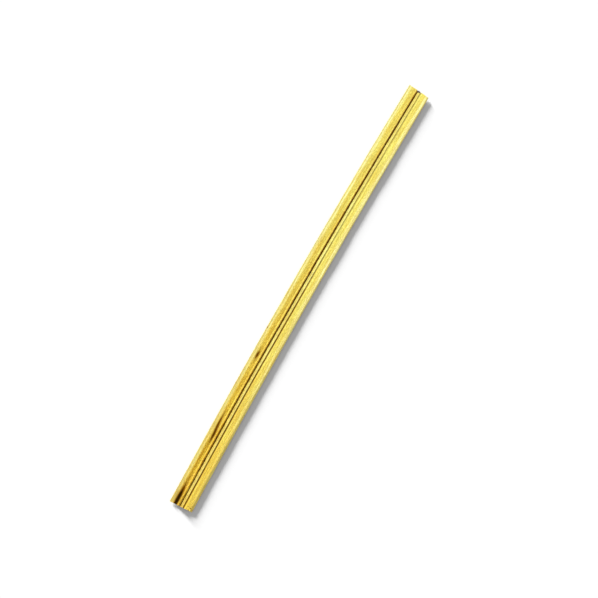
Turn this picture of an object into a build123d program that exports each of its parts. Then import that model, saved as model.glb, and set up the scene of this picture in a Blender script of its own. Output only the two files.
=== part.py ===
from build123d import *

import os
from math import asin, atan2, cos, degrees, radians, sin, sqrt, tan

# A metallic twist tie: a flat gold strip with a soft steel wire down its middle. Two thin films are
# laminated over the wire, one from above and one from below. Beside the wire they meet in two flat
# flanges, each held together by a strip of heat-seal adhesive.
#
# The real strip is in one length, and bends and twists anywhere. Here it is cut across into
# stretches, each a rigid body, and the joints between them stand in for the bending and twisting.
#
# Frame: origin on the table under the middle of the strip, +X along it, +Y across it, +Z up.
# Lengths are in millimetres and angles in degrees.

# Driving dimensions of the strip
TIE_LENGTH = 80.0
TIE_WIDTH = 4.0
CAMBER = 0.5  # sideways bow of the strip at mid-length, towards +Y
WIRE_DIAMETER = 0.60
FILM_THICKNESS = 0.05
SEAL_THICKNESS = 0.04
HOLLOW_RADIUS = 0.20  # outer radius of the hollow where a film runs off the wire onto a flange

# Driving dimensions of the stretches
TAIL_STRETCH = 12.5  # each tail is two of these, with a twist joint between them
MIDDLE_STRETCH = 6.0
MIDDLE_COUNT = 5  # stretches between the tails, with a bend joint at both ends of each
BEND_LIMIT = 35.0
JOINT_CLEARANCE = 0.03  # gap between two stretches, measured on the joint's axis

# Sizes worked out from them
wire_radius = WIRE_DIAMETER / 2
crest_radius = wire_radius + FILM_THICKNESS
flange_inside = SEAL_THICKNESS / 2
flange_outside = flange_inside + FILM_THICKNESS
hollow_height = flange_outside + HOLLOW_RADIUS
hollow_reach = crest_radius + HOLLOW_RADIUS
flange_start = sqrt(hollow_reach**2 - hollow_height**2)
leaving_angle = degrees(asin(hollow_height / hollow_reach))  # where a film leaves the wire
camber_radius = TIE_LENGTH**2 / (8 * CAMBER)
wire_height = crest_radius  # the lower film's crest touches the table

stretch_lengths = [TAIL_STRETCH] * 2 + [MIDDLE_STRETCH] * MIDDLE_COUNT + [TAIL_STRETCH] * 2
joint_kinds = ["twist"] + ["bend"] * (MIDDLE_COUNT + 1) + ["twist"]
boundaries = [sum(stretch_lengths[:n]) - TIE_LENGTH / 2 for n in range(len(stretch_lengths) + 1)]


def on_centreline(along):
    """The point of the bowed centreline at a distance along it from the middle."""
    turn = along / camber_radius
    return Vector(
        camber_radius * sin(turn),
        camber_radius * (cos(turn) - 1) + CAMBER / 2,
        wire_height,
    )


def film_face(crest, hollow, flange):
    """One face of the upper film, right across the strip, as edges.

    crest is its radius over the wire, hollow its radius in the hollows and flange its height at the
    flanges."""
    over_wire = CenterArc((0, 0), crest, leaving_angle, 180 - 2 * leaving_angle)
    one_side = [
        CenterArc((flange_start, hollow_height), hollow, 180 + leaving_angle, 90 - leaving_angle),
        Line((flange_start, flange), (TIE_WIDTH / 2, flange)),
    ]
    return [over_wire] + one_side + [edge.mirror(Plane.YZ) for edge in one_side]


def film_profile():
    """Cross-section of the upper film: flange, hollow, ridge over the wire, hollow, flange."""
    outside = film_face(crest_radius, HOLLOW_RADIUS, flange_outside)
    inside = film_face(wire_radius, HOLLOW_RADIUS + FILM_THICKNESS, flange_inside)
    cut_edges = [
        Line((y, flange_inside), (y, flange_outside)) for y in (-TIE_WIDTH / 2, TIE_WIDTH / 2)
    ]
    return make_face(outside + inside + cut_edges)


def seal_profile():
    """Cross-section of the adhesive that fills the flange on the +Y side."""
    seal_width = TIE_WIDTH / 2 - flange_start
    return Pos(flange_start + seal_width / 2, 0) * Rectangle(seal_width, SEAL_THICKNESS)


def end_trim(junction):
    """How far a stretch stops short of a junction: at the wire's axis and at the crests.

    At a bend both faces lean back, so that they close face to face at the bend limit. Junction 0 and
    the last one are the strip's own cut ends."""
    if junction in (0, len(stretch_lengths)):
        return 0.0, 0.0
    on_axis = JOINT_CLEARANCE / 2
    if joint_kinds[junction - 1] == "twist":
        return on_axis, on_axis
    return on_axis, on_axis + crest_radius * tan(radians(BEND_LIMIT / 2))


def envelope(number, length):
    """The space that a stretch may fill, in its own frame: a block along X, trimmed at both ends."""
    start_axis, start_crest = end_trim(number)
    end_axis, end_crest = end_trim(number + 1)
    outline = Polyline(
        (-length / 2 + start_axis, 0),
        (-length / 2 + start_crest, crest_radius),
        (length / 2 - end_crest, crest_radius),
        (length / 2 - end_axis, 0),
        (length / 2 - end_crest, -crest_radius),
        (-length / 2 + start_crest, -crest_radius),
        close=True,
    )
    return extrude(Plane.XZ * make_face(outline), TIE_WIDTH / 2, both=True)


def stretch_solid(profile, number):
    """One sub-part of one stretch: its profile run along the chord of the bowed centreline."""
    start = on_centreline(boundaries[number])
    end = on_centreline(boundaries[number + 1])
    chord = end - start
    run = extrude(Plane.YZ.offset(-chord.length / 2) * profile, chord.length)
    heading = degrees(atan2(chord.Y, chord.X))
    return Location((start + end) * 0.5, (0, 0, heading)) * (run & envelope(number, chord.length))


upper_film = film_profile()
left_seal = seal_profile()
profiles = {
    "core_wire": Circle(wire_radius),
    "upper_film": upper_film,
    "lower_film": mirror(upper_film, Plane.XZ),
    "left_seal": left_seal,
    "right_seal": mirror(left_seal, Plane.YZ),
}

os.makedirs("parts", exist_ok=True)
for name, profile in profiles.items():
    for number in range(len(stretch_lengths)):
        export_step(stretch_solid(profile, number), f"parts/{name}_{number + 1}.step")
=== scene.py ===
"""A gold metallic twist tie on a white table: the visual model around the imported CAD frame."""
import math
import random

import bpy
import numpy as np
from mathutils import Matrix, Vector


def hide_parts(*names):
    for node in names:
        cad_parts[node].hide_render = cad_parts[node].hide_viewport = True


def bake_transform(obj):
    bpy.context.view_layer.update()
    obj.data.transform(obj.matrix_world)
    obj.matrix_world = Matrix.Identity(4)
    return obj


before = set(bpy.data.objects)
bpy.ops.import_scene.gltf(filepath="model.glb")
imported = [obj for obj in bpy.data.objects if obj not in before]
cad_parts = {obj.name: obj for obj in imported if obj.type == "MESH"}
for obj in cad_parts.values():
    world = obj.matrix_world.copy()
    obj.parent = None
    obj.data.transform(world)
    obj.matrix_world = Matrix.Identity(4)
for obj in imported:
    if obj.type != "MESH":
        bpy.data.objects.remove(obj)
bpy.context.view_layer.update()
TIE = bpy.data.collections.new("tie")
bpy.context.scene.collection.children.link(TIE)

# The frame has +X along the strip, +Y across it to its left and +Z up, in metres. Here the strip is
# described in millimetres: u along its bowed centreline from the middle, v across it, to the left,
# and z up from the wire's axis.
MM = 0.001

# Sizes of the strip
LENGTH = 80.0
WIDTH = 4.0
CAMBER = 0.5
WIRE_RADIUS = 0.30
FILM = 0.05
SEAL = 0.04
CREST_RADIUS = WIRE_RADIUS + FILM
FLANGE_TOP = SEAL / 2 + FILM
CAMBER_RADIUS = LENGTH**2 / (8 * CAMBER)
HALF_LENGTH = LENGTH / 2
HALF_WIDTH = WIDTH / 2

# Stretches of the strip, as the joints divide it
TAIL = 12.5
MIDDLE = 6.0
STRETCHES = [TAIL] * 2 + [MIDDLE] * 5 + [TAIL] * 2
JUNCTIONS = [sum(STRETCHES[:n]) - HALF_LENGTH for n in range(1, len(STRETCHES))]
TWISTS = (1, len(JUNCTIONS))  # numbers of the junctions that twist; the others bend
BEND_REACH = 2.4  # how far from its joint a bend starts
TWIST_REACH = 6.0

# How far the wire lies to the right of the strip's middle, and how far and where it comes back
RIDGE_OFFSET = 0.05
WANDER = 0.06
WANDER_PLACE = -19.0
WANDER_SPREAD = 8.0

# The film beside the wire
HOLLOW_RADIUS = 0.13
HOLLOW_VARIATION = 0.025
SMALLEST_HOLLOW = 0.09
SLACK_HOLLOW = 0.22  # more radius on the upper face's right side, at the +X end
SHOULDER = 0.02  # how much further out the film stands than one that hugs the wire
FILLET_RISE = 0.045

# How the flanges depart from flat: the left one falls into a valley and curls up at its edge, the
# right one droops, and both roll and ripple along the strip.
FLANGE_START = 0.5
VALLEY_START = 0.58
VALLEY_BOTTOM = 1.36
VALLEY_DEPTH = 0.07  # at mid-length
VALLEY_CHANGE = 0.03  # more at the -X end, and less at the +X end
CURL_START = 1.45
CURL_RISE = 0.045
DROOP = 0.03
ROLL = 0.018
RIPPLE = 0.003
LEFT_SLIT_LIP = 0.006
RIGHT_SLIT_LIP = -0.025
SLIT_LIP_WIDTH = 0.12

# The sheared ends. The gaps are how far short of the cut a film ends over the ridge.
SHEAR_LIP = -0.03
SHEAR_LIP_LENGTH = 0.15
SQUEEZE = 0.10  # share of its height that the strip lost there
SQUEEZE_LENGTH = 0.3
UPPER_FILM_GAPS = (0.05, 0.42)  # at the -X and the +X end
UPPER_FILM_SLANT = 0.15  # how much more the second one is for each millimetre to the left
LOWER_FILM_GAP = 0.03
GAP_LENGTH = 0.5
GAP_WIDTH = 0.38
WIRE_SETBACK = 0.04
WIRE_SLANT = 0.03
WIRE_TEAR = 0.006

# Dark patches with dents under them, which show on both faces: centre (u, v), spread along and
# across, depth of the dent and how dark the film is made there: brown up to 1, and on to sooty at 2.
DARK_PATCHES = [
    ((-39.2, 1.05), (2.0, 0.25), 0.070, 3.0),
    ((-38.9, 1.55), (1.3, 0.28), 0.004, 0.35),
    ((-35.0, 1.08), (3.6, 0.30), 0.020, 0.35),
    ((-27.6, 0.96), (1.4, 0.20), 0.030, 1.5),
    ((-25.4, 1.14), (1.7, 0.22), 0.050, 1.3),
    ((-12.85, 1.10), (0.80, 0.24), 0.035, 1.4),
    ((-8.1, 1.92), (0.16, 0.10), 0.010, 0.9),
]
CRUMPLED_CORNER = (-HALF_LENGTH, -1.7)
CRUMPLE_SPREAD = (0.9, 0.8)
CRUMPLE_DEPTH = 0.012
SPECKLES = 1.6  # how dark the film is made on the crumples
CREASE = 0.37  # how far from the wire's axis the painted shade lines in the creases beside it lie
CREASE_SHADE_WOBBLE = 0.22  # how much a crease's painted shade varies along the strip

# Inside the films
WIRE_FIT = 0.004  # the wire stays this much inside them, so that their surfaces don't share a place
SEAL_RECESS = 0.02  # the adhesive stops this far from the slit edge

# Fineness of the meshes
ROW_STEP = 0.1
END_ROWS = (0.0, 0.02, 0.04, 0.07, 0.11, 0.16, 0.22, 0.3)  # the first rows' distances from a cut end
CREST_POINTS = 12
HOLLOW_POINTS = 10
FLANGE_POINTS = 26
SEAL_COLUMNS = 9
WIRE_SIDES = 32
WIRE_ROW = 0.25
WIRE_END_RINGS = (0.2, 0.4, 0.6, 0.8)  # shares of the wire's radius
SHARP_EDGE = math.radians(40)

# The film's colours
# Amber and lemon are painted light: amber for the dimmer look of the film, lemon for the brighter.
AMBER = (0.83, 0.635, 0.068)
LEMON = (0.83, 0.785, 0.182)
# A painted highlight colour, mixed in along the rims and the crest.
PAINTED_HIGHLIGHT = (0.90, 0.925, 0.560)
OLIVE = (0.34, 0.29, 0.060)
# BROWN colours the dark patches and the painted shade in the creases; SOOTY the darkest patches.
BROWN = (0.22, 0.095, 0.004)
SOOTY = (0.03, 0.015, 0.002)
WHITE = (1.0, 1.0, 1.0)
LACQUER = 0.6  # weight of the lacquer where the film isn't darkened

# How much of the other colours there is, and where amber has turned to lemon. The turn to
# lemon is painted light: the film is more amber where it looks dimmer, at the -X end and on the
# left flange, and more lemon where it looks brighter.
ALL_LEMON_AT = 28.0
RIGHT_LEAD = 16.0  # the right flange is this far ahead of the left in turning, as painted light for its brighter look
# How much painted highlight the rims and the crest get.
LEFT_RIM_HIGHLIGHT = 0.55
RIGHT_RIM_HIGHLIGHT = 0.5
CREST_HIGHLIGHT = 0.22
# How much darker olive the slit edges get; on the right edge, beside the cast shadow, it is painted
# shade.
LEFT_SLIT_OLIVE = 0.35
RIGHT_SLIT_SHADE = 0.95

# The light that the film reflects. The ceiling changes from side to side, and from over the strip's
# -X end, near, to over its +X end, far. Its stops are (y of the direction, strength, warmth). The
# walls under it are darker.
NEAR_CEILING = [
    (-1.0, 0.35, 0.0),
    (-0.85, 0.9, 0.0),
    (-0.60, 1.4, 0.0),
    (-0.36, 1.39, 0.0),
    (-0.12, 1.21, 0.0),
    (0.0, 0.48, 1.6),
    (0.20, 0.42, 1.6),
    (0.30, 1.9, 0.2),
    (0.55, 1.6, 0.0),
    (0.75, 0.25, 0.3),
    (1.0, 0.06, 0.0),
]
FAR_CEILING = [
    (-1.0, 0.70, 0.0),
    (-0.85, 1.0, 0.0),
    (-0.60, 1.5, 0.0),
    (-0.36, 1.36, 0.0),
    (-0.12, 1.22, 0.0),
    (0.0, 1.04, 0.6),
    (0.20, 1.00, 0.6),
    (0.30, 1.6, 0.0),
    (0.55, 1.4, 0.0),
    (0.75, 0.25, 0.3),
    (1.0, 0.06, 0.0),
]
BRIGHTEST = 3.0
WALL_LIGHT = 0.9
GOLD_CARD = (0.80, 0.60, 0.16, 1.0)  # a reflector that stands beyond the strip's -X end
TABLE_LIGHT = 0.445
SUN_STRENGTH = 12.6
SUN_WIDTH = math.radians(12.0)
SUN_ELEVATION = math.radians(12.0)
SUN_BEARING = Vector((0.45, 0.89, 0.0))

# The table, in metres
TABLE_HALF = 3.0
TABLE_WHITE = 0.805

# The camera, in metres
CAMERA_TARGET = Vector((-0.00145, -0.0001, CREST_RADIUS * MM))
CAMERA_DISTANCE = 0.139
PICTURE_WIDTH = 0.0990  # at the strip
SENSOR_WIDTH = 36.0  # millimetres
LEAN_TO_END = math.radians(7.0)  # away from straight above the strip, towards its -X end
LEAN_TO_LEFT = math.radians(9.0)
STRIP_RISE = math.radians(60.15)  # how steeply the strip rises to the right in the picture


# ------------------------------------------------------------------ the strip's shape


def ease(x, start=0.0, end=1.0, low=0.0, high=1.0):
    """Goes smoothly from low to high as x goes from start to end."""
    x = np.clip((x - start) / (end - start), 0.0, 1.0)
    return low + (high - low) * x * x * (3 - 2 * x)


def bell(x, spread, power=2):
    """1 at x = 0, and next to nothing well past the spread; a higher power makes it squarer."""
    return np.exp(-((x / spread) ** power))


def hump(u, v, centre, spread, height):
    """A smooth bump or dent at centre = (u, v), with spread = (along, across)."""
    return height * bell(u - centre[0], spread[0]) * bell(v - centre[1], spread[1])


def smooth_noise(seed, shortest, longest, waves=7):
    """A smooth random function of u, within about 1: sines with seeded wavelengths and phases."""
    draw = random.Random(seed)
    parts = []
    for n in range(waves):
        wavelength = longest * (shortest / longest) ** (n / (waves - 1)) * draw.uniform(0.85, 1.15)
        parts.append((wavelength, draw.uniform(0, 2 * math.pi), draw.uniform(0.5, 1.0)))
    total = sum(size for _, _, size in parts) * 0.6

    def noise(u):
        return sum(size * np.sin(2 * math.pi * u / w + phase) for w, phase, size in parts) / total

    return noise


left_roll = smooth_noise(11, 5.0, 40.0)
right_roll = smooth_noise(12, 5.0, 40.0)
left_ripple = smooth_noise(13, 0.9, 4.0)
right_ripple = smooth_noise(14, 0.9, 4.0)
left_slack = smooth_noise(16, 3.0, 25.0)
right_slack = smooth_noise(17, 3.0, 25.0)
left_crease_shade_wobble = smooth_noise(18, 0.8, 14.0)
right_crease_shade_wobble = smooth_noise(19, 0.8, 14.0)


def end_distance(u):
    """How far a point is from the nearer cut end."""
    return HALF_LENGTH - np.abs(u)


def crumple(u, v):
    """Fine crumpling of the corner at the -X end's right side, within about 1."""
    waves = np.sin(9.1 * u + 4.0 * v) * np.sin(7.3 * v - 3.1 * u) + 0.5 * np.sin(13.7 * u - 6.2 * v)
    return waves * hump(u, v, CRUMPLED_CORNER, CRUMPLE_SPREAD, 1.0)


def dents(u, v):
    """The dents under the dark patches, and the crumpled corner."""
    depth = sum(hump(u, v, centre, spread, -deep) for centre, spread, deep, _ in DARK_PATCHES)
    return depth + CRUMPLE_DEPTH * crumple(u, v)


def flange_lift(u, v):
    """How far the flanges stand up or down from flat, at u and v."""
    across = np.abs(v)
    left = v > 0
    out = np.clip((across - FLANGE_START) / (HALF_WIDTH - FLANGE_START), 0.0, None)
    fall = np.clip((across - VALLEY_START) / (VALLEY_BOTTOM - VALLEY_START), 0.0, 1.0)
    valley = (VALLEY_DEPTH - VALLEY_CHANGE * u / HALF_LENGTH) * (fall + ease(fall)) / 2
    curl = ease(across, CURL_START, HALF_WIDTH, 0.0, CURL_RISE)
    bow = np.where(left, curl - valley, -DROOP * out**2)
    roll = ROLL * np.where(left, left_roll(u), right_roll(u)) * out
    ripple = RIPPLE * np.where(left, left_ripple(u), right_ripple(u)) * out
    slit_lip = np.where(left, LEFT_SLIT_LIP, RIGHT_SLIT_LIP)
    slit_lip = slit_lip * np.exp((across - HALF_WIDTH) / SLIT_LIP_WIDTH)
    shear_lip = SHEAR_LIP * out * np.exp(-end_distance(u) / SHEAR_LIP_LENGTH)
    fillet_end = np.where(left, 0.52, 0.46)
    fillet_share = ease(across, 0.30, 0.42) * (1 - ease(across, fillet_end, fillet_end + 0.22))
    return bow + roll + ripple + slit_lip + shear_lip + FILLET_RISE * fillet_share + dents(u, v)


def to_frame(u, v, z):
    """Millimetres on the strip to metres in the frame.

    v is measured from the wire, which lies a little off the strip's middle, while the slit edges run
    true. The shears pinched the strip's height at its ends."""
    turn = u / CAMBER_RADIUS
    offset = RIDGE_OFFSET - WANDER * bell(u - WANDER_PLACE, WANDER_SPREAD)
    radius = CAMBER_RADIUS + v - offset * (1 - ease(np.abs(v), 0.4, 1.6))
    x = radius * np.sin(turn)
    y = radius * np.cos(turn) - CAMBER_RADIUS + CAMBER / 2
    squeezed = z * (1 - SQUEEZE * bell(end_distance(u), SQUEEZE_LENGTH))
    height = CREST_RADIUS + squeezed + flange_lift(u, v)
    return np.stack([x, y, height], axis=-1) * MM


def film_section(hollow):
    """Half of the film's cross-section for each row, crest to edge, for hollows of these radii.

    Returns v, z and the outward normal's two parts, each with a row for each radius."""
    hollow = hollow[:, None]
    height = FLANGE_TOP + hollow
    reach = CREST_RADIUS + hollow
    start = np.sqrt(reach**2 - height**2)
    leaving = np.arcsin(height / reach)
    turned = math.pi / 2 - leaving
    over = math.pi / 2 - np.linspace(0, 1, CREST_POINTS + 1)[None, :] * turned
    into = math.pi + leaving + np.linspace(0, 1, HOLLOW_POINTS + 1)[None, 1:] * turned
    closer_at_edge = ease(np.linspace(0.5, 1, FLANGE_POINTS + 1)[None, 1:]) * 2 - 1
    flat = start + closer_at_edge * (HALF_WIDTH - start)
    v = [CREST_RADIUS * np.cos(over), start + hollow * np.cos(into), flat]
    z = [CREST_RADIUS * np.sin(over), height + hollow * np.sin(into), flat * 0 + FLANGE_TOP]
    nv = [np.cos(over), -np.cos(into), flat * 0]
    nz = [np.sin(over), -np.sin(into), flat * 0 + 1]
    return [np.concatenate(part, axis=1) for part in (v, z, nv, nz)]


def hollow_radii(u, side, face):
    """The radius of the hollow beside the ridge, along the strip.

    On the upper face the right side slackens towards the +X end, where the film leaves the wire in a
    gentler slope."""
    radius = HOLLOW_RADIUS + HOLLOW_VARIATION * (left_slack(u) if side > 0 else right_slack(u))
    if face > 0 and side < 0:
        slackened = SLACK_HOLLOW * ease(u, -10.0, 14.0)
        radius = radius + slackened * (0.8 + 0.3 * right_slack(1.7 * u + 9))
    return np.clip(radius, SMALLEST_HOLLOW, 1.0)


def spread_shoulders(v):
    """Moves the film outwards beside the wire, where it bridges to the flange instead of hugging it."""
    across = np.abs(v)
    share = ease(across, 0.0, 0.3) * (1 - ease(across, 0.5, 1.1))
    return v + np.sign(v) * SHOULDER * share


def cut_back(grid, face):
    """Draws a film's end back from the wire's, over the ridge, as the shears leave it.

    The upper film's +X end is drawn back further, and more on the left."""
    u, v, z = grid
    gap = LOWER_FILM_GAP
    if face > 0:
        start_gap, end_gap = UPPER_FILM_GAPS
        gap = np.where(u > 0, end_gap + UPPER_FILM_SLANT * np.clip(v, -0.4, 0.4), start_gap)
    share = bell(end_distance(u), GAP_LENGTH) * bell(v, GAP_WIDTH, 4)
    return u - np.sign(u) * gap * share, v, z


def film_grids(u, face):
    """Outer and inner surface of a film, as grids of (u, v, z).

    face is 1 for the upper film and -1 for the lower."""
    right_half = film_section(hollow_radii(u, -1, face))
    left_half = film_section(hollow_radii(u, 1, face))
    v, z, nv, nz = [
        np.concatenate([(sign * right)[:, ::-1], left[:, 1:]], axis=1)
        for sign, right, left in zip((-1, 1, -1, 1), right_half, left_half)
    ]
    rows = np.repeat(u[:, None], v.shape[1], axis=1)
    outer = (rows, spread_shoulders(v), face * z)
    inner = (rows, spread_shoulders(v - FILM * nv), face * (z - FILM * nz))
    return cut_back(outer, face), cut_back(inner, face)


def seal_grids(u, side):
    """Upper and lower surface of the adhesive in one flange, as grids of (u, v, z)."""
    hollow_end = CREST_POINTS + HOLLOW_POINTS
    flange_starts = [film_section(hollow_radii(u, side, face))[0][:, hollow_end] for face in (1, -1)]
    inside = np.maximum(*flange_starts)[:, None]
    share = np.linspace(0, 1, SEAL_COLUMNS)[None, :]
    v = inside + share * (HALF_WIDTH - SEAL_RECESS - inside)
    v = v if side > 0 else -v[:, ::-1]
    rows = np.repeat(u[:, None], v.shape[1], axis=1)
    return (rows, v, v * 0 + SEAL / 2), (rows, v, v * 0 - SEAL / 2)


def seams():
    """Where the visible pieces begin and end: the cut ends, and the middles of the inner stretches."""
    edges = [-HALF_LENGTH, *JUNCTIONS, HALF_LENGTH]
    middles = [(a + b) / 2 for a, b in zip(edges, edges[1:])]
    return [-HALF_LENGTH, *middles[1:-1], HALF_LENGTH]


def row_places():
    """Places of the mesh rows along the whole strip, closer together at the two cut ends, with a row
    at the middle of every inner stretch, where one piece ends and the next begins."""
    close = np.array(END_ROWS)
    stops = [-HALF_LENGTH + close[-1], *seams()[1:-1], HALF_LENGTH - close[-1]]
    rows = [-HALF_LENGTH + close]
    for start, end in zip(stops, stops[1:]):
        count = round((end - start) / ROW_STEP)
        rows.append(np.linspace(start, end, count + 1)[1:])
    rows.append(HALF_LENGTH - close[-2::-1])
    return np.concatenate(rows)


# ------------------------------------------------------------------ the film's colour


def patch_darkness(u, v):
    """How dark the dark patches make the film."""
    return sum(hump(u, v, centre, spread, dark) for centre, spread, _, dark in DARK_PATCHES)


def dark_patches_and_crease_shade(u, v):
    """How dark and dull the film is made, from 0 to 1: the dark patches, dark speckles on the crumpled
    corner, and painted shade in the creases beside the wire.

    The left crease's painted shade is fainter at the -X end, and the right one's fades towards +X."""
    left = v > 0
    speckled = SPECKLES * np.clip(crumple(u, v) - 0.15, 0.0, 0.5)
    strength = np.where(left, ease(u, -38.0, -24.0, 0.75, 1.05), ease(u, -5.0, 12.0, 1.15, 0.40))
    strength = strength * (1 + CREASE_SHADE_WOBBLE * np.where(left, left_crease_shade_wobble(u), right_crease_shade_wobble(u)))
    spread = np.where(left, ease(u, -12.0, 8.0, 0.105, 0.140), 0.112)
    # Painted shade: dark lines in the hollows beside the wire, where the film turns steeply down to the
    # flange.
    crease_shade = strength * bell(np.abs(v) - CREASE, spread, 4)
    return np.clip(patch_darkness(u, v) + speckled + crease_shade, 0.0, 1.0)


def film_colour(u, v):
    """The gold at each point, with painted light and shade in it: more amber towards -X and more lemon
    towards +X, which paints the dimmer look of the -X end and the left flange and the brighter look
    of the +X end and the right flange; painted highlights along the rims and the crest; darker olive
    at the slit edges, which on the right edge is painted shade beside the cast shadow; and brown at
    the dark patches and the painted shade in the creases. The alpha is the weight of the lacquer
    that is left."""
    across = np.abs(v)
    left = v > 0
    along = ease(u + np.where(left, 0.0, RIGHT_LEAD), -HALF_LENGTH, ALL_LEMON_AT)
    # Painted highlights along the rims and the crest.
    left_rim_highlight = ease(across, 1.3, 1.6, 0.0, LEFT_RIM_HIGHLIGHT)
    right_rim_highlight = ease(across, 1.15, 1.55, 0.0, RIGHT_RIM_HIGHLIGHT) * along
    crest = ease(across, 0.1, 0.25, CREST_HIGHLIGHT, 0.0)
    highlight = np.where(left, left_rim_highlight, right_rim_highlight) * (0.6 + 0.4 * along) + crest
    # Darker olive at the slit edges: painted shade on the right edge, beside the cast shadow.
    slit_start = 1.45 + 0.23 * along
    slit_darkening = np.where(left, LEFT_SLIT_OLIVE, RIGHT_SLIT_SHADE - 0.15 * along)
    slit_darkening = slit_darkening * ease(across, slit_start, slit_start + 0.24)
    darkened = dark_patches_and_crease_shade(u, v)
    layers = (
        (LEMON, along),
        (PAINTED_HIGHLIGHT, highlight),
        (OLIVE, slit_darkening),
        (BROWN, darkened),
        (SOOTY, np.clip(patch_darkness(u, v) - 1, 0.0, 1.0)),
    )
    colour = np.broadcast_to(AMBER, (*u.shape, 3))
    for other, share in layers:
        colour = colour + share[..., None] * (np.array(other) - colour)
    return np.concatenate([colour, LACQUER * (1 - darkened[..., None])], axis=-1)


# ------------------------------------------------------------------ meshes


def add_object(name, data, collection):
    """A new object for this mesh, light or camera, in this collection."""
    obj = bpy.data.objects.new(name, data)
    collection.objects.link(obj)
    return obj


def add_mesh(name, points, faces, strip, materials):
    """A smooth mesh with these materials, and with each point's place on the strip for their
    patterns: u, the distance across it, and z."""
    mesh = bpy.data.meshes.new(name)
    mesh.from_pydata(points.tolist(), [], faces)
    mesh.attributes.new("strip_mm", "FLOAT_VECTOR", "POINT").data.foreach_set("vector", strip.ravel())
    for material in materials:
        mesh.materials.append(material)
    mesh.polygons.foreach_set("use_smooth", np.ones(len(faces), bool))
    return mesh


def across_length(grid):
    """Distance across the strip from the crest to each point, following the surface."""
    _, v, z = grid
    steps = np.hypot(np.diff(v, axis=1), np.diff(z, axis=1))
    run = np.concatenate([steps[:, :1] * 0, np.cumsum(steps, axis=1)], axis=1)
    crest = run.shape[1] // 2
    return run - run[:, crest : crest + 1]


def surface_normals(points):
    """Unit normals of a grid of points, on the side that the rows' and columns' directions turn to."""
    along = np.gradient(points, axis=0)
    across = np.gradient(points, axis=1)
    normals = np.cross(along, across)
    return normals / np.linalg.norm(normals, axis=2, keepdims=True)


def flat_normals(points, faces):
    """Flat normals for these faces, one for each corner."""
    a, b, c = (points[faces[:, k]] for k in range(3))
    normals = np.cross(b - a, c - a)
    length = np.linalg.norm(normals, axis=1, keepdims=True)
    normals = np.where(length > 0, normals / np.maximum(length, 1e-30), [0.0, 0.0, 1.0])
    return np.repeat(normals, 4, axis=0)


def grid_faces(first, rows, columns, flip):
    """Faces of a grid whose points are numbered row by row from first."""
    i, j = np.meshgrid(np.arange(rows - 1), np.arange(columns - 1), indexing="ij")
    a = first + i * columns + j
    faces = np.stack([a, a + columns, a + columns + 1, a + 1], axis=-1).reshape(-1, 4)
    return faces[:, ::-1] if flip else faces


def edge_faces(rows, columns, flip):
    """Faces that close the gap all round between two grids, one numbered after the other."""
    ring = [(0, j) for j in range(columns)]
    ring += [(i, columns - 1) for i in range(1, rows)]
    ring += [(rows - 1, j) for j in range(columns - 2, -1, -1)]
    ring += [(i, 0) for i in range(rows - 2, 0, -1)]
    outer = np.array([i * columns + j for i, j in ring])
    inner = outer + rows * columns
    faces = np.stack([outer, np.roll(outer, -1), np.roll(inner, -1), inner], axis=-1)
    return faces[:, ::-1] if flip else faces


class Sheet:
    """A thin solid between an outer and an inner grid of (u, v, z), over the whole strip.

    side is 1 if the outer grid is the upper one and -1 if it is the lower. The last of the materials
    is for the inner surface and the edges. colour gives the colour attribute from u and v."""

    def __init__(self, grids, side, materials, colour=None):
        self.side = side
        self.materials = materials
        self.points = [to_frame(*grid) for grid in grids]
        outer, inner = (surface_normals(points) * side for points in self.points)
        self.normals = [outer, -inner]
        self.strip = [np.stack([u, across_length((u, v, z)), z], axis=-1) for u, v, z in grids]
        self.colours = [colour(u, v) for u, v, _ in grids] if colour else []

    def piece(self, name, first, last):
        """The part of the sheet between two rows, as a closed mesh object."""

        def part(pair):
            return np.concatenate([grid[first : last + 1].reshape(-1, grid.shape[-1]) for grid in pair])

        rows = last - first + 1
        columns = self.points[0].shape[1]
        outer = grid_faces(0, rows, columns, self.side < 0)
        inner = grid_faces(rows * columns, rows, columns, self.side > 0)
        edge = edge_faces(rows, columns, self.side < 0)
        faces = np.concatenate([outer, inner, edge])
        points = part(self.points)
        mesh = add_mesh(name, points, faces.tolist(), part(self.strip), self.materials)
        if self.colours:
            layer = mesh.attributes.new("colour", "FLOAT_COLOR", "POINT")
            layer.data.foreach_set("color", part(self.colours).ravel())
        slots = np.zeros(len(faces), np.int32)
        slots[len(outer) :] = len(self.materials) - 1
        mesh.polygons.foreach_set("material_index", slots)
        normals = part(self.normals)[faces.ravel()]
        normals[-edge.size :] = flat_normals(points, edge)
        mesh.normals_split_custom_set(normals.tolist())
        return add_object(name, mesh, TIE)


def shear_face(u, v, z):
    """How far the wire's end stands back from the cut: the shears leave it slanting and torn."""
    slant = WIRE_SLANT * z / WIRE_RADIUS
    torn = WIRE_TEAR * np.sin(37 * v + 5 * z) * np.sin(29 * z - 11 * v)
    return np.where(end_distance(u) < 1e-6, WIRE_SETBACK + slant + torn, 0.0)


def wire_faces(rings):
    """Faces of a closed tube of so many rings, whose last two points are the middles of its ends."""
    i, j = np.meshgrid(np.arange(rings - 1), np.arange(WIRE_SIDES), indexing="ij")
    a = i * WIRE_SIDES + j
    b = i * WIRE_SIDES + (j + 1) % WIRE_SIDES
    walls = np.stack([a, b, b + WIRE_SIDES, a + WIRE_SIDES], axis=-1).reshape(-1, 4)
    first = np.arange(WIRE_SIDES)
    last = first + (rings - 1) * WIRE_SIDES
    middle = np.full(WIRE_SIDES, rings * WIRE_SIDES)
    start_fan = np.stack([middle, np.roll(first, -1), first], axis=-1)
    end_fan = np.stack([middle + 1, last, np.roll(last, -1)], axis=-1)
    return walls.tolist() + start_fan.tolist() + end_fan.tolist()


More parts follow.
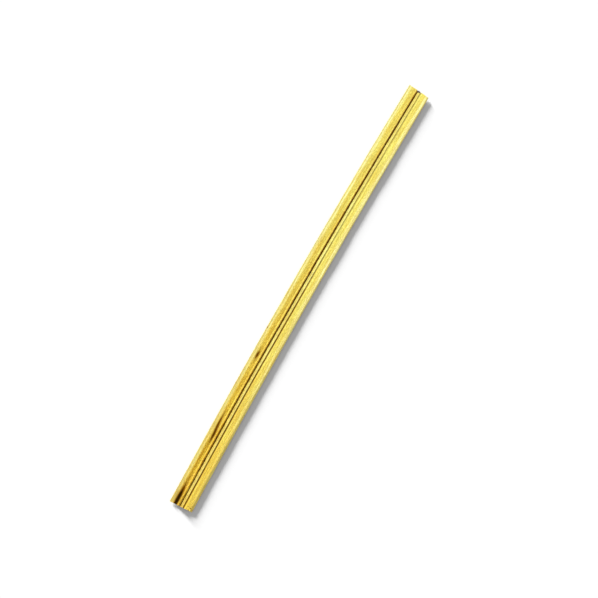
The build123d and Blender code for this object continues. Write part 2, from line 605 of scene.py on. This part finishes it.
def wire_piece(name, start, end, material):
    """A length of wire between two places, as a closed mesh object."""
    count = round((end - start) / WIRE_ROW) + 1
    caps = len(WIRE_END_RINGS)
    run = np.linspace(start, end, count)
    places = np.concatenate([np.full(caps, start), run, np.full(caps, end)])
    shares = np.concatenate([WIRE_END_RINGS, np.ones(count), WIRE_END_RINGS[::-1]])
    angles = np.linspace(0, 2 * math.pi, WIRE_SIDES, endpoint=False)
    radius = (WIRE_RADIUS - WIRE_FIT) * shares[:, None]
    v = np.append(radius * np.cos(angles), [0.0, 0.0])
    z = np.append(radius * np.sin(angles), [0.0, 0.0])
    u = np.append(np.repeat(places, WIRE_SIDES), [start, end])
    u = u - np.sign(u) * shear_face(u, v, z)
    strip = np.stack([u, v, z], axis=-1)
    mesh = add_mesh(name, to_frame(u, v, z), wire_faces(len(places)), strip, [material])
    mesh.set_sharp_from_angle(angle=SHARP_EDGE)
    return add_object(name, mesh, TIE)


# ------------------------------------------------------------------ materials


def grey(level):
    """A neutral colour."""
    return (level, level, level, 1.0)


class Tree:
    """The nodes of a material or a world. A value may be a plain one or another node's output."""

    def __init__(self, owner):
        owner.use_nodes = True
        self.nodes = owner.node_tree.nodes
        self.links = owner.node_tree.links

    def feed(self, socket, value):
        """Gives a socket its value."""
        if isinstance(value, bpy.types.NodeSocket):
            self.links.new(value, socket)
        else:
            socket.default_value = value

    def ranged(self, value, low, high, start=0.3, end=0.7, how="LINEAR"):
        """Maps a value from start..end to low..high."""
        node = self.nodes.new("ShaderNodeMapRange")
        node.interpolation_type = how
        for name, number in zip(("From Min", "From Max", "To Min", "To Max"), (start, end, low, high)):
            node.inputs[name].default_value = number
        self.feed(node.inputs["Value"], value)
        return node.outputs["Result"]

    def product(self, first, second):
        """Two numbers multiplied."""
        node = self.nodes.new("ShaderNodeMath")
        node.operation = "MULTIPLY"
        self.feed(node.inputs[0], first)
        self.feed(node.inputs[1], second)
        return node.outputs["Value"]

    def ramp(self, value, *stops):
        """A colour for the value, from (place, colour) stops."""
        node = self.nodes.new("ShaderNodeValToRGB")
        elements = node.color_ramp.elements
        while len(elements) < len(stops):
            elements.new(0.5)
        for element, (place, colour) in zip(elements, stops):
            element.position = place
            element.color = (*colour, 1.0)
        self.feed(node.inputs["Fac"], value)
        return node.outputs["Color"]

    def mixed(self, share, first, second, how="MIX"):
        """Two colours mixed this way."""
        node = self.nodes.new("ShaderNodeMix")
        node.data_type = "RGBA"
        node.blend_type = how
        sockets = [socket for socket in node.inputs if socket.enabled]
        for socket, value in zip(sockets, (share, first, second)):
            self.feed(socket, value)
        return next(socket for socket in node.outputs if socket.enabled)


class Material(Tree):
    """A material's nodes, with its shader and with patterns over the strip's own millimetres."""

    def __init__(self, name):
        self.material = bpy.data.materials.new(name)
        super().__init__(self.material)
        self.shader = self.nodes["Principled BSDF"]
        self.place = self.attribute("strip_mm", "Vector")

    def attribute(self, name, output):
        """An attribute of the mesh."""
        node = self.nodes.new("ShaderNodeAttribute")
        node.attribute_name = name
        return node.outputs[output]

    def set(self, **values):
        """Sets sockets of the shader that have the same value everywhere."""
        for name, value in values.items():
            self.shader.inputs[name.replace("_", " ")].default_value = value

    def link(self, output, name):
        """Feeds a socket of the shader from this output."""
        self.links.new(output, self.shader.inputs[name])

    def noise(self, density, detail=2.0, roughness=0.5):
        """Noise with so many features to the millimetre, along, across and up."""
        mapping = self.nodes.new("ShaderNodeMapping")
        mapping.inputs["Scale"].default_value = density
        self.links.new(self.place, mapping.inputs["Vector"])
        noise = self.nodes.new("ShaderNodeTexNoise")
        noise.inputs["Scale"].default_value = 1.0
        noise.inputs["Detail"].default_value = detail
        noise.inputs["Roughness"].default_value = roughness
        self.links.new(mapping.outputs["Vector"], noise.inputs["Vector"])
        return noise.outputs["Fac"]

    def bump(self, height, depth, under=None):
        """A bump of this depth in millimetres, on top of another bump if there is one."""
        node = self.nodes.new("ShaderNodeBump")
        node.inputs["Strength"].default_value = 1.0
        node.inputs["Distance"].default_value = depth * MM
        self.links.new(height, node.inputs["Height"])
        if under is not None:
            self.links.new(under, node.inputs["Normal"])
        return node.outputs["Normal"]


def gold_film():
    """Metallised film under gold lacquer: glossy, with a satin grain and faint streaks along it."""
    m = Material("gold_film")
    m.set(Metallic=1.0, Specular_Tint=(1.0, 0.86, 0.50, 1.0), Coat_IOR=1.5, Coat_Roughness=0.08)
    m.link(m.attribute("colour", "Alpha"), "Coat Weight")
    grain = m.noise((2.3, 5.0, 1.0), detail=3.0, roughness=0.65)
    lines = m.noise((0.2, 4.5, 1.0), detail=3.0)
    mottle = m.noise((0.3, 1.2, 1.0), detail=3.0)
    streaks = m.ramp(lines, (0.36, (0.90, 0.75, 0.47)), (0.62, WHITE))
    yellower = m.ramp(grain, (0.3, (1.0, 0.98, 0.78)), (0.7, WHITE))
    shade = m.product(m.ranged(grain, 0.79, 1.15), m.ranged(mottle, 0.92, 1.04))
    # The colour attribute carries the painted light and shade of film_colour.
    colour = m.attribute("colour", "Color")
    for pattern in (streaks, yellower, shade):
        colour = m.mixed(1.0, colour, pattern, "MULTIPLY")
    m.link(colour, "Base Color")
    m.link(m.ranged(grain, 0.15, 0.28), "Roughness")
    m.link(m.bump(grain, 0.038, m.bump(lines, 0.004)), "Normal")
    return m.material


def film_core():
    """The clear plastic of the film, seen on its cut edges and inner face."""
    m = Material("film_core")
    m.set(Roughness=0.35, IOR=1.55, Coat_Weight=0.2)
    cloud = m.noise((2.0, 9.0, 30.0))
    m.link(m.ramp(cloud, (0.35, (0.58, 0.43, 0.14)), (0.65, (0.74, 0.58, 0.25))), "Base Color")
    m.link(m.bump(m.noise((12.0, 12.0, 60.0)), 0.004), "Normal")
    return m.material


def soft_wire():
    """Annealed steel wire, dull grey, with lines along it from drawing."""
    m = Material("soft_wire")
    m.set(Metallic=1.0)
    tone = m.noise((0.8, 14.0, 14.0), detail=3.0)
    m.link(m.ramp(tone, (0.3, (0.10, 0.085, 0.06)), (0.7, (0.24, 0.21, 0.17))), "Base Color")
    m.link(m.ranged(tone, 0.34, 0.55), "Roughness")
    m.link(m.bump(m.noise((3.0, 25.0, 25.0)), 0.004), "Normal")
    return m.material


def heat_seal():
    """Hot-melt adhesive, cloudy and pale."""
    m = Material("heat_seal")
    m.set(Roughness=0.5, IOR=1.48, Subsurface_Weight=0.15, Subsurface_Scale=0.1 * MM)
    cloud = m.noise((2.5, 6.0, 20.0), detail=3.0)
    m.link(m.ramp(cloud, (0.3, (0.72, 0.66, 0.50)), (0.7, (0.88, 0.84, 0.70))), "Base Color")
    m.link(m.bump(m.noise((9.0, 9.0, 30.0)), 0.005), "Normal")
    return m.material


def table_top():
    """Plain white table, matt."""
    m = Material("table_top")
    m.set(Base_Color=grey(TABLE_WHITE), Roughness=1.0, Specular_IOR_Level=0.0)
    return m.material


# ------------------------------------------------------------------ the object's pieces


def attach(obj, number, layer):
    """Bakes a piece's transform and lets it stand for the CAD nodes under it, which it hides."""
    junction = JUNCTIONS[number - 1]
    reach = TWIST_REACH if number in TWISTS else BEND_REACH
    start, end = to_frame(np.array([junction - reach, junction + reach]), np.zeros(2), np.zeros(2))
    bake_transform(obj)
    stood_for = [number] if number < len(JUNCTIONS) else [number, number + 1]
    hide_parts(*(f"{layer}_{n}" for n in stood_for))


def make_strip():
    """Every piece of the tie: five layers, each in as many pieces as there are joints."""
    rows = row_places()
    edges = seams()
    breaks = [int(np.argmin(np.abs(rows - place))) for place in edges]
    film = [gold_film(), film_core()]
    seal = [heat_seal()]
    layers = (
        ("upper_film", "gold_film", Sheet(film_grids(rows, 1), 1, film, film_colour)),
        ("lower_film", "gold_film", Sheet(film_grids(rows, -1), -1, film, film_colour)),
        ("left_seal", "heat_seal", Sheet(seal_grids(rows, 1), 1, seal)),
        ("right_seal", "heat_seal", Sheet(seal_grids(rows, -1), 1, seal)),
    )
    for layer, slot, sheet in layers:
        for n, (first, last) in enumerate(zip(breaks, breaks[1:]), start=1):
            attach(sheet.piece(f"{layer}_part_{n}", first, last), n, layer)
    steel = soft_wire()
    for n, (start, end) in enumerate(zip(edges, edges[1:]), start=1):
        attach(wire_piece(f"core_wire_part_{n}", start, end, steel), n, "core_wire")


# ------------------------------------------------------------------ table, light and camera


def make_table():
    """A wide table under the tie's lowest point, however the tie is bent."""
    signs = [(-1, -1), (1, -1), (1, 1), (-1, 1)]
    corners = [(x * TABLE_HALF, y * TABLE_HALF, 0.0) for x, y in signs]
    mesh = bpy.data.meshes.new("table")
    mesh.from_pydata(corners, [], [(0, 1, 2, 3)])
    mesh.materials.append(table_top())
    table = add_object("table", mesh, bpy.context.scene.collection)
    table.modifiers.new("under_the_tie", "NODES").node_group = lowered_under(TIE)


def lowered_under(pieces):
    """Geometry nodes that lower their input until it is under every piece of a collection."""
    group = bpy.data.node_groups.new("lowered_under", "GeometryNodeTree")
    group.interface.new_socket("Geometry", in_out="INPUT", socket_type="NodeSocketGeometry")
    group.interface.new_socket("Geometry", in_out="OUTPUT", socket_type="NodeSocketGeometry")
    kinds = {
        "table": "NodeGroupInput",
        "pieces": "GeometryNodeCollectionInfo",
        "meshes": "GeometryNodeRealizeInstances",
        "box": "GeometryNodeBoundBox",
        "lowest": "ShaderNodeSeparateXYZ",
        "drop": "ShaderNodeMath",
        "shift": "ShaderNodeCombineXYZ",
        "moved": "GeometryNodeTransform",
        "output": "NodeGroupOutput",
    }
    node = {name: group.nodes.new(kind) for name, kind in kinds.items()}
    node["pieces"].inputs["Collection"].default_value = pieces
    node["drop"].operation = "MINIMUM"
    node["drop"].inputs[1].default_value = 0.0
    for source, output, target, socket in (
        ("pieces", "Instances", "meshes", "Geometry"),
        ("meshes", "Geometry", "box", "Geometry"),
        ("box", "Min", "lowest", "Vector"),
        ("lowest", "Z", "drop", 0),
        ("drop", "Value", "shift", "Z"),
        ("table", "Geometry", "moved", "Geometry"),
        ("shift", "Vector", "moved", "Translation"),
        ("moved", "Geometry", "output", "Geometry"),
    ):
        group.links.new(node[source].outputs[output], node[target].inputs[socket])
    return group


def make_sun():
    """The light that throws the soft shadow: low, from the strip's left and its +X end."""
    light = bpy.data.lights.new("low_sun", "SUN")
    light.energy = SUN_STRENGTH
    light.angle = SUN_WIDTH
    sun = add_object("low_sun", light, bpy.context.scene.collection)
    flat = SUN_BEARING.normalized() * math.cos(SUN_ELEVATION)
    towards = Vector((flat.x, flat.y, math.sin(SUN_ELEVATION)))
    sun.rotation_mode = "QUATERNION"
    sun.rotation_quaternion = towards.to_track_quat("Z", "Y")
    sun.visible_glossy = False


def ceiling_stop(y, strength, warmth):
    """The colour ramp's stop for one stop of the ceiling."""
    level = strength / BRIGHTEST
    return (y + 1) / 2, (level, level * (1 - 0.24 * warmth), level * (1 - 0.5 * warmth))


def reflections(tree, x, y, z):
    """The light that reflections see in a direction: ceiling, walls and the gold card."""
    across = tree.ranged(y, 0.0, 1.0, -1.0, 1.0)
    farther = tree.ranged(x, 0.0, 1.0, -0.2, 0.35, "SMOOTHSTEP")
    near = tree.ramp(across, *(ceiling_stop(*stop) for stop in NEAR_CEILING))
    far = tree.ramp(across, *(ceiling_stop(*stop) for stop in FAR_CEILING))
    walls = tree.ranged(z, WALL_LIGHT, BRIGHTEST, 0.05, 0.35, "SMOOTHSTEP")
    room = tree.mixed(1.0, tree.mixed(farther, near, far), walls, "MULTIPLY")
    at_card = tree.ranged(x, 1.0, 0.0, -0.96, -0.84, "SMOOTHSTEP")
    return tree.mixed(at_card, room, GOLD_CARD)


def make_world():
    """Studio surroundings: white to the eye, soft grey light on the table, and a room to reflect."""
    world = bpy.data.worlds.new("studio")
    bpy.context.scene.world = world
    tree = Tree(world)
    tree.nodes.clear()
    direction = tree.nodes.new("ShaderNodeTexCoord").outputs["Generated"]
    split = tree.nodes.new("ShaderNodeSeparateXYZ")
    tree.feed(split.inputs["Vector"], direction)
    rays = tree.nodes.new("ShaderNodeLightPath").outputs
    light = tree.mixed(rays["Is Glossy Ray"], grey(TABLE_LIGHT), reflections(tree, *split.outputs))
    light = tree.mixed(rays["Is Camera Ray"], light, grey(1.0))
    background = tree.nodes.new("ShaderNodeBackground")
    tree.feed(background.inputs["Color"], light)
    output = tree.nodes.new("ShaderNodeOutputWorld")
    tree.feed(output.inputs["Surface"], background.outputs["Background"])


def make_camera():
    """Close above the strip, a little towards its -X end and its left, with the strip rising to the
    right in the picture."""
    back = Vector((-math.tan(LEAN_TO_END), math.tan(LEAN_TO_LEFT), 1.0)).normalized()
    strip = Vector((1.0, 0.0, 0.0))
    along = (strip - strip.dot(back) * back).normalized()
    left = back.cross(along)
    right_of_picture = along * math.cos(STRIP_RISE) - left * math.sin(STRIP_RISE)
    top_of_picture = along * math.sin(STRIP_RISE) + left * math.cos(STRIP_RISE)
    data = bpy.data.cameras.new("camera")
    data.sensor_width = SENSOR_WIDTH
    data.lens = SENSOR_WIDTH * CAMERA_DISTANCE / PICTURE_WIDTH
    data.clip_start = 0.01
    data.clip_end = 20.0
    camera = add_object("camera", data, bpy.context.scene.collection)
    turn = Matrix((right_of_picture, top_of_picture, back)).transposed().to_4x4()
    camera.matrix_world = Matrix.Translation(CAMERA_TARGET + back * CAMERA_DISTANCE) @ turn
    bpy.context.scene.camera = camera


bpy.context.scene.view_settings.view_transform = "Standard"
make_camera()
make_world()
make_sun()
make_table()
make_strip()
